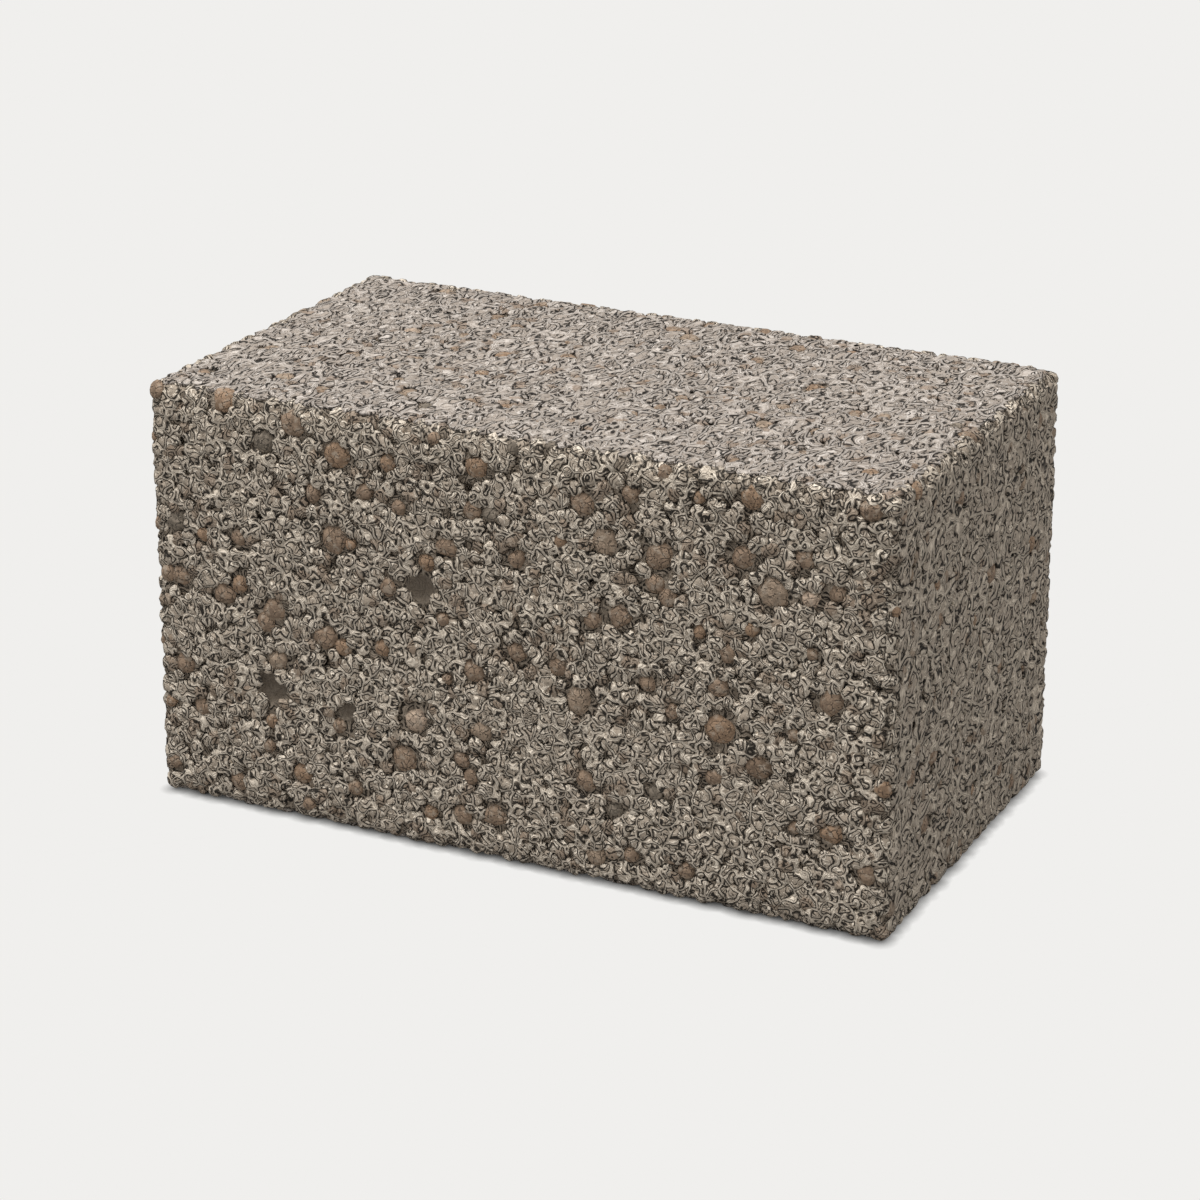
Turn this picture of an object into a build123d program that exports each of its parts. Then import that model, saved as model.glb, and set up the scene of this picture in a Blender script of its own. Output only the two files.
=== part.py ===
"""Solid building block of expanded-clay aggregate concrete, pressed in one piece.

The block is a plain rectangular stone with rounded arrises and no cores. Fired-clay aggregate
lies against the mould walls. Each piece sits in a shallow crater, where the cement paste has
drawn back from it. Whole pellets show as round domes, and pellets that broke in the mixer show
as flat, angular pieces. Where a pellet has dropped out, its empty socket stays. The mix is
open, and where a lump of it is missing from a face, a deep, angular pore is left.

Millimetres. The origin is the middle of the lower bed face, X runs along the block, Y across
the wall from the front face to the back face, and Z is up.
"""

from build123d import *
import math
import os

# The block
length = 340.0
width = 190.0
height = 188.0
arris_radius = 5.0

# The crater round a piece of aggregate: its depth, and how much wider it is at the face
crater_depth = 1.5
crater_slope = 1.2

# How far the crown of a piece lies behind the face of the block
crown_setback = 0.3

# A broken pellet: its corners, how unevenly they reach out, and the lean of its sides in degrees
broken_corners = 7
broken_unevenness = 0.3
broken_lean = 35.0

# An empty socket is a bowl, this share of its mouth deep
socket_depth_share = 0.38

# An open pore: its corners, its depth as a share of its width, and the lean of its walls in degrees
pore_corners = 5
pore_depth_share = 0.7
pore_lean = 15.0

# Clear strip between the outermost crater on a face filled by rule and the start of the arris
crater_margin = 3.0

# Steps that never fall back on themselves: in one direction, and in two directions at once
golden_ratio = (1 + math.sqrt(5)) / 2
plastic_number = 1.32471795724

# Whole pellets: distance from the face's left edge, height above its lower edge, diameter shown
whole_pellets = {
    "front": [
        (92.0, 168.0, 12.5),
        (205.0, 164.5, 10.5),
        (215.0, 150.5, 12.0),
        (239.0, 148.0, 13.5),
        (90.0, 131.5, 13.5),
        (222.0, 119.5, 12.5),
        (203.0, 80.5, 14.0),
        (313.0, 99.0, 13.0),
        (127.0, 57.0, 13.5),
        (283.0, 65.0, 13.0),
        (315.0, 43.5, 12.0),
    ],
    "top": [
        (64.0, 116.0, 10.0),
        (256.0, 64.0, 11.0),
    ],
    "right": [
        (41.0, 36.0, 12.0),
    ],
}

# Broken pellets, in the same terms
broken_pellets = {
    "front": [
        (71.5, 178.0, 11.0),
        (57.0, 169.0, 10.0),
        (116.0, 168.0, 9.0),
        (157.0, 172.5, 11.0),
        (226.5, 172.5, 10.0),
        (278.0, 178.0, 10.0),
        (276.0, 154.5, 11.0),
        (302.0, 157.0, 9.0),
        (288.5, 141.5, 13.0),
        (304.0, 141.0, 9.0),
        (155.0, 154.0, 9.0),
        (143.0, 136.0, 11.0),
        (175.0, 136.0, 10.0),
        (194.0, 147.0, 8.0),
        (44.0, 124.0, 8.0),
        (12.0, 127.0, 9.0),
        (269.0, 112.0, 9.0),
        (14.0, 102.0, 10.0),
        (37.0, 99.0, 12.0),
        (59.0, 94.0, 12.0),
        (84.5, 87.0, 12.0),
        (175.0, 96.0, 11.0),
        (194.0, 94.0, 9.0),
        (155.0, 84.0, 10.0),
        (234.0, 93.0, 9.0),
        (267.0, 78.5, 12.5),
        (61.0, 74.0, 10.0),
        (14.0, 62.0, 11.0),
        (158.0, 57.5, 11.0),
        (264.0, 58.0, 9.0),
        (206.0, 45.0, 11.0),
        (121.5, 38.5, 12.0),
        (151.0, 39.0, 8.0),
        (22.0, 43.0, 9.0),
        (164.5, 20.5, 11.5),
        (71.5, 21.5, 9.0),
        (97.0, 20.0, 9.0),
        (39.0, 13.0, 8.0),
        (211.0, 14.0, 8.0),
        (252.0, 15.0, 9.0),
    ],
    "top": [
        (22.0, 66.0, 9.0),
        (48.0, 34.0, 10.0),
        (117.0, 102.0, 9.0),
        (178.0, 161.0, 10.0),
        (284.0, 94.0, 9.0),
    ],
    "right": [
        (95.0, 29.0, 8.0),
        (71.0, 166.0, 9.0),
        (164.0, 171.0, 8.0),
    ],
}

# Empty sockets of the front face: distance from the left edge, height above the bed, mouth diameter
front_sockets = [
    (58.0, 58.0, 14.0),
    (94.0, 55.0, 9.0),
    (131.0, 115.5, 13.0),
]

# Open pores of the front face: distance from the left edge, height above the bed, width
front_pores = [
    (17.0, 164.0, 6.0),
    (153.0, 163.0, 4.5),
    (228.0, 141.0, 6.0),
    (318.0, 139.0, 5.5),
    (54.0, 133.5, 5.0),
    (203.0, 133.0, 4.0),
    (209.0, 133.0, 5.0),
    (334.0, 125.0, 4.0),
    (91.0, 120.5, 5.0),
    (33.0, 116.0, 4.0),
    (285.0, 114.0, 4.0),
    (327.0, 113.0, 4.5),
    (168.0, 112.5, 4.0),
    (43.0, 111.0, 4.0),
    (319.0, 109.0, 4.0),
    (333.0, 107.0, 4.5),
    (249.0, 77.0, 4.0),
    (84.5, 75.0, 5.0),
    (70.5, 73.0, 5.0),
    (10.5, 52.5, 4.0),
    (161.0, 48.0, 4.0),
    (134.0, 47.0, 4.0),
    (333.0, 46.0, 4.0),
    (304.0, 34.5, 4.0),
]

# Open pores of the other faces, spread by rule: how many, and how wide
pores_by_rule = {"back": 12, "left": 3, "right": 3, "top": 5, "bottom": 4}
pore_smallest = 4.5
pore_largest = 6.5

# The faces filled by rule: how many pieces show, what share of them are whole, and their diameters
pieces_by_rule = {"back": 20, "left": 5, "bottom": 7}
whole_share = 0.1
piece_smallest = 8.0
piece_largest = 13.0


def block_body():
    """The bare stone, standing on its bed, with every arris rounded."""
    stone = Pos(0, 0, height / 2) * Box(length, width, height)
    return fillet(stone.edges(), arris_radius)


def face_planes():
    """A plane for each face: its corner at lower left as seen from outside, its normal outwards."""
    half_length = length / 2
    half_width = width / 2
    return {
        "front": Plane(origin=(-half_length, -half_width, 0), x_dir=(1, 0, 0), z_dir=(0, -1, 0)),
        "right": Plane(origin=(half_length, -half_width, 0), x_dir=(0, 1, 0), z_dir=(1, 0, 0)),
        "back": Plane(origin=(half_length, half_width, 0), x_dir=(-1, 0, 0), z_dir=(0, 1, 0)),
        "left": Plane(origin=(-half_length, half_width, 0), x_dir=(0, -1, 0), z_dir=(-1, 0, 0)),
        "top": Plane(origin=(-half_length, -half_width, height), x_dir=(1, 0, 0), z_dir=(0, 0, 1)),
        "bottom": Plane(origin=(-half_length, half_width, 0), x_dir=(1, 0, 0), z_dir=(0, 0, -1)),
    }


def face_sizes():
    """Width and height of each face, in the directions of its plane."""
    return {
        "front": (length, height),
        "right": (width, height),
        "back": (length, height),
        "left": (width, height),
        "top": (length, width),
        "bottom": (length, width),
    }


def crater_radius(diameter):
    """Radius of a crater where it opens in the face, round a piece of this diameter."""
    return diameter / 2 + crater_slope


def whole_pellet_crater(diameter):
    """What is missing round a whole pellet: the crater, less the pellet's dome."""
    rim = diameter / 2
    above = arris_radius
    dome_rise = crater_depth - crown_setback
    dome_radius = (rim**2 + dome_rise**2) / (2 * dome_rise)
    half_lean = math.asin(rim / dome_radius) / 2
    dome_shoulder = (
        dome_radius * math.sin(half_lean),
        -crown_setback - dome_radius * (1 - math.cos(half_lean)),
    )
    outline = [
        Line((0, above), (crater_radius(diameter), above)),
        Line((crater_radius(diameter), above), (crater_radius(diameter), 0)),
        Line((crater_radius(diameter), 0), (rim, -crater_depth)),
        ThreePointArc((rim, -crater_depth), dome_shoulder, (0, -crown_setback)),
        Line((0, -crown_setback), (0, above)),
    ]
    half_section = Plane.XZ * make_face(Wire(outline))
    return revolve(half_section, axis=Axis.Z)


def uneven_outline(diameter, corner_count, turn, level):
    """A flat face with uneven corners, at this level below the face of the block."""
    corners = []
    for n in range(corner_count):
        reach = diameter / 2 * (1 - broken_unevenness * ((turn + n * golden_ratio) % 1))
        angle = 2 * math.pi * (turn + n / corner_count)
        corners.append((reach * math.cos(angle), reach * math.sin(angle), level))
    return make_face(Polyline(corners, close=True))


def broken_pellet_crater(diameter, turn):
    """What is missing round a broken pellet: the crater, less the piece's flat, angular crown."""
    outline = uneven_outline(diameter, broken_corners, turn, -crater_depth)
    crater_lean = math.degrees(math.atan2(crater_slope, crater_depth))
    crater = extrude(outline, crater_depth, dir=(0, 0, 1), taper=-crater_lean)
    crown = extrude(outline, crater_depth - crown_setback, dir=(0, 0, 1), taper=broken_lean)
    return crater - crown


def empty_socket(mouth):
    """The bowl that a lost pellet leaves, its mouth in the plane Z = 0."""
    depth = socket_depth_share * mouth
    bowl_radius = ((mouth / 2) ** 2 + depth**2) / (2 * depth)
    return Pos(0, 0, bowl_radius - depth) * Sphere(bowl_radius)


def open_pore(width, turn):
    """The pit that a missing lump leaves, narrower towards its floor."""
    return extrude(
        uneven_outline(width, pore_corners, turn, 0),
        pore_depth_share * width,
        dir=(0, 0, -1),
        taper=pore_lean,
    )


def fits(u, v, radius, size):
    """Whether a round feature lies on the face without reaching the middle of its arrises."""
    clear = radius + arris_radius / 2
    return all(clear <= at <= side - clear for at, side in zip((u, v), size))


def spread_pieces(count, size):
    """Whole and broken pieces spread evenly over a face, by steps that never fall back on themselves."""
    border = arris_radius + crater_margin + crater_radius(piece_largest)
    whole = []
    broken = []
    for n in range(1, count + 1):
        u = border + (n / plastic_number) % 1 * (size[0] - 2 * border)
        v = border + (n / plastic_number**2) % 1 * (size[1] - 2 * border)
        diameter = piece_smallest + (n / golden_ratio) % 1 * (piece_largest - piece_smallest)
        is_whole = (n * whole_share) % 1 < whole_share
        (whole if is_whole else broken).append((u, v, diameter))
    return whole, broken


def pieces_by_face():
    """For each face, its whole pellets and its broken ones."""
    sizes = face_sizes()
    pieces = {face: (whole_pellets[face], broken_pellets[face]) for face in whole_pellets}
    for face, count in pieces_by_rule.items():
        pieces[face] = spread_pieces(count, sizes[face])
    return pieces


def spread_pores(count, size, taken):
    """Open pores spread evenly over a face, clear of the places that are taken on it."""
    border = arris_radius + crater_margin + pore_largest / 2
    pores = []
    for n in range(1, count + 1):
        u = border + (n / plastic_number**2) % 1 * (size[0] - 2 * border)
        v = border + (n / plastic_number) % 1 * (size[1] - 2 * border)
        width = pore_smallest + (n / golden_ratio) % 1 * (pore_largest - pore_smallest)
        if all(math.dist((u, v), place) > width / 2 + radius for *place, radius in taken):
            pores.append((u, v, width))
    return pores


def pores_by_face():
    """For each face, its open pores, clear of its craters."""
    sizes = face_sizes()
    pores = {"front": front_pores}
    for face, (whole, broken) in pieces_by_face().items():
        if face in pores_by_rule:
            taken = [(u, v, crater_radius(diameter)) for u, v, diameter in whole + broken]
            pores[face] = spread_pores(pores_by_rule[face], sizes[face], taken)
    return pores


def craters():
    """The cutting tools of all craters, sockets and pores, in place on their faces."""
    planes = face_planes()
    sizes = face_sizes()
    tools = []
    for face, (whole, broken) in pieces_by_face().items():
        for u, v, diameter in whole:
            if fits(u, v, crater_radius(diameter), sizes[face]):
                tools.append(planes[face] * Pos(u, v, 0) * whole_pellet_crater(diameter))
        for u, v, diameter in broken:
            if fits(u, v, crater_radius(diameter), sizes[face]):
                turn = (u + v) / golden_ratio % 1
                tools.append(planes[face] * Pos(u, v, 0) * broken_pellet_crater(diameter, turn))
    for face, pores in pores_by_face().items():
        for u, v, width in pores:
            if fits(u, v, width / 2, sizes[face]):
                turn = (u + v) / golden_ratio % 1
                tools.append(planes[face] * Pos(u, v, 0) * open_pore(width, turn))
    for u, v, mouth in front_sockets:
        if fits(u, v, mouth / 2, sizes["front"]):
            tools.append(planes["front"] * Pos(u, v, 0) * empty_socket(mouth))
    return tools


os.makedirs("parts", exist_ok=True)
block = block_body() - craters()
export_step(block, "parts/block.step")
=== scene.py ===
"""Looks of a solid expanded-clay concrete block, laid out as an add-on and run as a script.

The block is pressed from lumps of cement paste and small clay grit, with fired-clay pellets
among them. The mould walls press the outermost lumps flat, and open gaps stay between them.

Metres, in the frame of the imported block: X along it, Y from the front face to the back, Z up.
"""

import math
import random

import bmesh
import bpy
import numpy as np
from bpy.props import FloatProperty, FloatVectorProperty, IntProperty, PointerProperty
from mathutils import Matrix, Quaternion, Vector, noise


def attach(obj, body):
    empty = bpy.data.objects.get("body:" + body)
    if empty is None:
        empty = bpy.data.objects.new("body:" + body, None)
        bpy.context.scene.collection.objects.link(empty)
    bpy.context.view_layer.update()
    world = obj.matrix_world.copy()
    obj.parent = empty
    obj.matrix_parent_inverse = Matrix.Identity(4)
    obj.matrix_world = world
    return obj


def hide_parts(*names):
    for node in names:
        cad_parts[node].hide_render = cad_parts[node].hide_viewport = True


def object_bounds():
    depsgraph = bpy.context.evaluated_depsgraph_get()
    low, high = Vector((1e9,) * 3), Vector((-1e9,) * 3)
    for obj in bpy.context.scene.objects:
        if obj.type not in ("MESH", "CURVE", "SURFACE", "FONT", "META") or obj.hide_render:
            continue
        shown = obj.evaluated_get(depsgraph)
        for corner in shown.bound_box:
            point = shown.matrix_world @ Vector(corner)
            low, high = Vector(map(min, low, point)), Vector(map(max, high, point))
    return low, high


bl_info = {
    "name": "Expanded-clay concrete block",
    "version": (1, 0, 0),
    "blender": (4, 5, 0),
    "location": "3D View > Sidebar > Block",
    "description": "Finishes a packed concrete block with its paste, lumps and clay pellets",
    "category": "Object",
}

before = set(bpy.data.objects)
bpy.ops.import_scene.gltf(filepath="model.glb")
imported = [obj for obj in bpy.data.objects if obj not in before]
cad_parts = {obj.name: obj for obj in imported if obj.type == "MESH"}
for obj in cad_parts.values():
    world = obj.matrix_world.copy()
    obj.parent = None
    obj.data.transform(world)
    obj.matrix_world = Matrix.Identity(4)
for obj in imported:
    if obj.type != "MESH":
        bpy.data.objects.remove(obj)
CAD_LOW, CAD_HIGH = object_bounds()
NODE = "block"
BODY = "root"
MM = 0.001

CENTRE = (CAD_LOW + CAD_HIGH) / 2
HALF = (CAD_HIGH - CAD_LOW) / 2

# Each face: its outward normal, then its directions to the right and up as seen from outside
FACES = {
    "front": (Vector((0, -1, 0)), Vector((1, 0, 0)), Vector((0, 0, 1))),
    "back": (Vector((0, 1, 0)), Vector((-1, 0, 0)), Vector((0, 0, 1))),
    "right": (Vector((1, 0, 0)), Vector((0, 1, 0)), Vector((0, 0, 1))),
    "left": (Vector((-1, 0, 0)), Vector((0, -1, 0)), Vector((0, 0, 1))),
    "top": (Vector((0, 0, 1)), Vector((1, 0, 0)), Vector((0, 1, 0))),
    "bottom": (Vector((0, 0, -1)), Vector((1, 0, 0)), Vector((0, -1, 0))),
}

# The faces whose lumps are made as one piece, and how their concrete is finished
LUMP_PIECES = {
    "lumps_front": (("front",), "long"),
    "lumps_back": (("back",), "long"),
    "lumps_top": (("top",), "bed"),
    "lumps_bottom": (("bottom",), "bed"),
    "lumps_ends": (("right", "left"), "end"),
}

# A lump is repeated thousands of times, so it has few segments and rings
FACE_LUMP_MESH = (8, 4)
ARRIS_LUMP_MESH = (12, 8)
# How far a lump strays from its place, as a share of the spacing, and how wide its bulges are
LUMP_JITTER = 0.34
LUMP_WAVE = 3.2 * MM
# The lumps keep back from a pellet of the long faces by this, and from every pellet they keep
# back a little more below it and to its right
PELLET_GAP = 1.4 * MM
GAP_SHIFT = 0.3 * MM
# The paste between them: how wide and how high its bulges are, and the rim of an empty socket
PASTE_WAVE = 4.0 * MM
PASTE_UNEVENNESS = 0.7 * MM
SOCKET_RIM = 0.6 * MM

# Pellets of the front face, in millimetres: from the left end, above the bed, radius, and tone
FRONT_PELLETS = [
    (37.5, 184.0, 6.0, "orange"),
    (71.5, 178.5, 6.2, "brown"),
    (92.0, 168.0, 6.5, "orange"),
    (57.0, 169.0, 5.0, "grey"),
    (43.5, 124.0, 3.5, "brown"),
    (90.0, 131.0, 7.2, "brown"),
    (98.0, 130.0, 2.5, "orange"),
    (12.0, 127.0, 4.8, "grey"),
    (14.0, 102.0, 5.0, "brown"),
    (7.0, 102.0, 3.5, "brown"),
    (35.0, 97.0, 5.2, "brown"),
    (43.0, 103.0, 4.0, "orange"),
    (59.0, 94.0, 6.0, "brown"),
    (55.5, 88.0, 4.5, "brown"),
    (84.0, 86.0, 6.0, "brown"),
    (93.0, 83.0, 4.0, "orange"),
    (61.0, 71.5, 5.2, "tan"),
    (14.0, 62.0, 5.0, "brown"),
    (22.0, 43.0, 4.0, "brown"),
    (6.0, 43.0, 3.0, "orange"),
    (39.0, 11.5, 4.0, "brown"),
    (71.5, 21.5, 4.5, "orange"),
    (7.0, 15.0, 3.5, "brown"),
    (97.0, 20.0, 4.0, "brown"),
    (158.0, 173.0, 5.5, "orange"),
    (205.0, 164.5, 5.3, "brown"),
    (214.5, 150.5, 6.2, "tan"),
    (226.0, 172.0, 5.0, "brown"),
    (221.5, 119.5, 6.3, "brown"),
    (209.5, 116.0, 4.0, "brown"),
    (155.0, 154.0, 4.0, "brown"),
    (164.0, 154.0, 3.5, "grey"),
    (143.0, 136.0, 5.0, "brown"),
    (134.0, 128.0, 4.0, "orange"),
    (175.0, 136.0, 4.5, "brown"),
    (195.0, 147.0, 3.0, "orange"),
    (116.0, 168.0, 4.0, "orange"),
    (115.0, 114.0, 4.0, "brown"),
    (175.0, 96.0, 5.0, "brown"),
    (194.0, 93.0, 4.5, "brown"),
    (127.0, 57.0, 6.8, "pale"),
    (121.5, 38.0, 6.0, "brown"),
    (158.0, 57.5, 5.3, "tan"),
    (155.0, 84.0, 5.0, "brown"),
    (203.0, 80.0, 7.3, "tan"),
    (164.5, 20.5, 5.8, "brown"),
    (149.0, 18.0, 4.0, "brown"),
    (220.0, 35.0, 4.0, "grey"),
    (211.0, 12.0, 4.0, "tan"),
    (149.0, 43.0, 3.5, "brown"),
    (153.0, 36.0, 3.5, "brown"),
    (206.0, 45.0, 5.0, "brown"),
    (239.0, 148.0, 6.9, "brown"),
    (237.0, 136.0, 4.5, "brown"),
    (243.0, 131.0, 4.0, "brown"),
    (276.0, 154.0, 5.7, "brown"),
    (288.0, 141.0, 6.5, "tan"),
    (278.0, 179.0, 5.5, "orange"),
    (315.0, 145.0, 4.5, "brown"),
    (304.0, 141.0, 4.0, "pale"),
    (301.5, 157.0, 4.0, "brown"),
    (328.0, 181.0, 5.0, "brown"),
    (313.0, 99.0, 6.7, "brown"),
    (283.0, 65.5, 6.6, "dark"),
    (266.0, 79.0, 6.5, "orange"),
    (315.0, 43.5, 6.0, "orange"),
    (299.0, 43.0, 3.0, "brown"),
    (264.0, 58.0, 4.0, "brown"),
    (336.0, 67.0, 3.5, "orange"),
    (252.0, 14.0, 4.0, "brown"),
    (330.0, 29.0, 4.0, "brown"),
    (238.0, 46.0, 3.5, "grey"),
    (257.0, 119.0, 3.0, "orange"),
    (279.0, 124.0, 4.0, "orange"),
    (269.0, 112.0, 4.0, "brown"),
    (234.0, 93.0, 4.0, "brown"),
    (298.0, 83.0, 3.0, "brown"),
    (245.0, 83.0, 3.0, "brown"),
    (265.0, 97.0, 4.0, "brown"),
    (4.0, 185.0, 3.5, "brown"),
    (138.0, 182.0, 3.0, "brown"),
    (174.0, 184.0, 3.0, "grey"),
    (241.0, 183.0, 3.0, "brown"),
    (256.0, 175.0, 2.5, "orange"),
    (121.0, 149.5, 3.0, "brown"),
    (26.0, 123.0, 3.0, "orange"),
    (55.0, 31.0, 3.0, "brown"),
    (57.0, 43.0, 3.0, "orange"),
    (90.0, 47.0, 3.5, "brown"),
    (74.0, 8.0, 3.0, "brown"),
    (112.0, 86.0, 4.0, "orange"),
    (142.5, 78.0, 2.5, "brown"),
    (134.0, 16.0, 3.0, "orange"),
    (141.0, 104.0, 3.0, "brown"),
    (227.0, 16.0, 3.0, "brown"),
    (305.0, 118.0, 2.5, "brown"),
    (80.0, 149.0, 4.0, "brown"),
    (105.0, 154.0, 4.0, "brown"),
]

# Pellets of the upper bed and of the right end, in the same terms
TOP_PELLETS = [
    (22.0, 66.0, 4.5, "tan"),
    (64.0, 116.0, 5.0, "pale"),
    (48.0, 34.0, 5.0, "tan"),
    (117.0, 102.0, 4.5, "orange"),
    (178.0, 161.0, 5.0, "tan"),
    (256.0, 64.0, 5.5, "tan"),
    (284.0, 94.0, 4.5, "brown"),
    (254.0, 88.0, 4.5, "tan"),
    (296.0, 95.0, 4.0, "tan"),
    (334.0, 88.0, 5.0, "brown"),
    (72.0, 25.0, 4.0, "brown"),
    (106.0, 38.0, 4.0, "tan"),
    (135.0, 38.0, 4.0, "brown"),
    (152.0, 38.0, 4.0, "orange"),
    (212.0, 80.0, 4.0, "brown"),
]
RIGHT_PELLETS = [
    (41.0, 36.0, 6.5, "brown"),
    (95.0, 29.0, 3.5, "orange"),
    (71.0, 166.0, 4.5, "brown"),
    (164.0, 171.0, 4.0, "brown"),
    (24.0, 184.0, 3.5, "orange"),
    (17.0, 151.0, 3.5, "brown"),
    (84.0, 5.0, 3.5, "orange"),
    (167.0, 91.0, 3.5, "tan"),
    (130.0, 25.0, 3.5, "brown"),
]

# Empty sockets of the front face: from the left end, above the bed, mouth radius
FRONT_SOCKETS = [
    (57.5, 58.0, 7.0),
    (94.0, 55.0, 4.5),
    (131.0, 115.5, 6.5),
]

# Deep pores of the front face, where a lump is missing: from the left end, above the bed, width
FRONT_PORES = [
    (17.0, 164.0, 6.0),
    (153.0, 163.0, 4.5),
    (228.0, 141.0, 6.0),
    (318.0, 139.0, 5.5),
    (54.0, 133.5, 5.0),
    (203.0, 133.0, 4.0),
    (209.0, 133.0, 5.0),
    (334.0, 125.0, 4.0),
    (91.0, 120.5, 5.0),
    (33.0, 116.0, 4.0),
    (285.0, 114.0, 4.0),
    (327.0, 113.0, 4.5),
    (168.0, 112.5, 4.0),
    (43.0, 111.0, 4.0),
    (319.0, 109.0, 4.0),
    (333.0, 107.0, 4.5),
    (249.0, 77.0, 4.0),
    (84.5, 75.0, 5.0),
    (70.5, 73.0, 5.0),
    (10.5, 52.5, 4.0),
    (161.0, 48.0, 4.0),
    (134.0, 47.0, 4.0),
    (333.0, 46.0, 4.0),
    (304.0, 34.5, 4.0),
]

# The pellets and pores of the solid's other faces follow its rule: how many of each face, and in
# millimetres their distance from the edge, least width and greatest width
RULED_PELLETS = {"back": 20, "left": 5, "bottom": 7}
RULED_PORES = {"back": 12, "left": 3, "right": 3, "top": 5, "bottom": 4}
PELLET_SPREAD = (15.7, 8.0, 13.0)
PORE_SPREAD = (11.25, 4.5, 6.5)
GOLDEN_RATIO = (1 + math.sqrt(5)) / 2
PLASTIC_NUMBER = 1.32471795724

# Small pellets are strewn between them: how many a face shows in all, their radii in
# millimetres, the share of that on a face other than the back, and the tones they are drawn from
SHOWN_PELLETS = {"back": 95, "left": 26, "right": 26, "top": 60, "bottom": 45}
STREWN_RADII = (2.5, 3.0, 3.5, 4.0, 4.5, 5.5, 6.5)
STREWN_SHARE = 0.75
STREWN_TONES = ("brown",) * 5 + ("orange",) * 2 + ("tan", "grey")
STREWN_TRIES = 5000
TONES = ("brown", "orange", "tan", "grey", "pale", "dark")

# A pellet's shape: how far it is swollen past its listed radius, which is that of the cap that
# shows, its thickness as a share of its width, how many are broken and how many chips each has
# lost. Those of more than a certain radius have a finer mesh.
PELLET_SWELL = 1.12
PELLET_THICKNESS = 0.62
BROKEN_SHARE = 0.45
CHIPS = 6
LARGE_PELLET = 5.2 * MM

# The three finishes of the pressed concrete. The long faces are open and coarse, with whole
# cracks beside the ridges. The beds, pressed between plates, are tighter and greyer, with ridges
# drawn out across the block and short cracks. The ends are as tight, with wider ridges. Each
# has its name, how far its ridges are drawn out along X, Y and Z, the share of its lumps that
# hold crushed clay, and how broken up its cracks are.
FINISHES = {
    "long": ("open_pressed_concrete", (1.05, 1.05, 1.05), 0.1, 0.3),
    "bed": ("tight_pressed_concrete", (1.3, 2.5, 1.3), 0.05, 0.42),
    "end": ("struck_pressed_concrete", (1.4, 2.0, 1.6), 0.03, 0.4),
}

# Sizes of the concrete's pattern, in millimetres. The net of ridges has cells as wide as a lump
# of paste, bent by a push that changes over WARP_CELL. The grit in the paste is finer than
# 0.5 mm, too fine to show, so its grain is drawn at 0.9 mm.
NET_CELL = 6.0
NET_PUSH = 5.5
WARP_CELL = 4.5
RING_CELL = 5.5
CURL_CELL = 4.0
CLOUD_CELL = 2.5
PATCH_CELL = 3.0
BREAK_CELL = 1.8
HIGHLIGHT_RING_CELL = 5.0
GRAIN_CELL = 0.9

# Sizes of the pattern on the fired clay, in millimetres: its shrinkage cracks, the push that
# bends them, its pinholes, its speckle and the cement dust that clings to it
CLAY_CRACK_CELL = 3.5
CLAY_PUSH = 1.5
CLAY_WARP_CELL = 2.0
PINHOLE_CELL = 1.8
SPECKLE_CELL = 0.8
DUST_CELL = 3.0

# Kinds of node that come often, and the settings they come with
MATH = "ShaderNodeMath"
VECTOR = "ShaderNodeVectorMath"
NOISE = "ShaderNodeTexNoise"
CELLS = "ShaderNodeTexVoronoi"
RANGE = "ShaderNodeMapRange"
MIX = "ShaderNodeMix"
ATTRIBUTE = "ShaderNodeAttribute"
SOFT = {"interpolation_type": "SMOOTHSTEP"}
EDGES = {"feature": "DISTANCE_TO_EDGE"}
COLOUR = {"data_type": "RGBA"}
# The colour inputs and output of the mixing node, which also has numbers and vectors
MIX_SHARE, MIX_FIRST, MIX_SECOND, MIX_RESULT = 0, 6, 7, 2


def linear(code):
    """The linear colour, with full alpha, of an sRGB hex value such as #A09080."""
    channels = [int(code[at : at + 2], 16) / 255 for at in (1, 3, 5)]
    turned = [c / 12.92 if c <= 0.04045 else ((c + 0.055) / 1.055) ** 2.4 for c in channels]
    return (*turned, 1.0)


def size_property(name, description, default):
    """A length in metres that the sidebar shows."""
    return FloatProperty(
        name=name, description=description, default=default, min=0.0, unit="LENGTH", precision=5
    )


def share_property(name, description, default):
    """A share of the whole, from nothing to all of it."""
    return FloatProperty(
        name=name, description=description, default=default, min=0.0, max=1.0, subtype="FACTOR"
    )


def colour_property(name, description, code):
    """A colour that the sidebar shows."""
    return FloatVectorProperty(
        name=name,
        description=description,
        default=linear(code),
        size=4,
        min=0.0,
        max=1.0,
        subtype="COLOR",
    )


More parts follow.
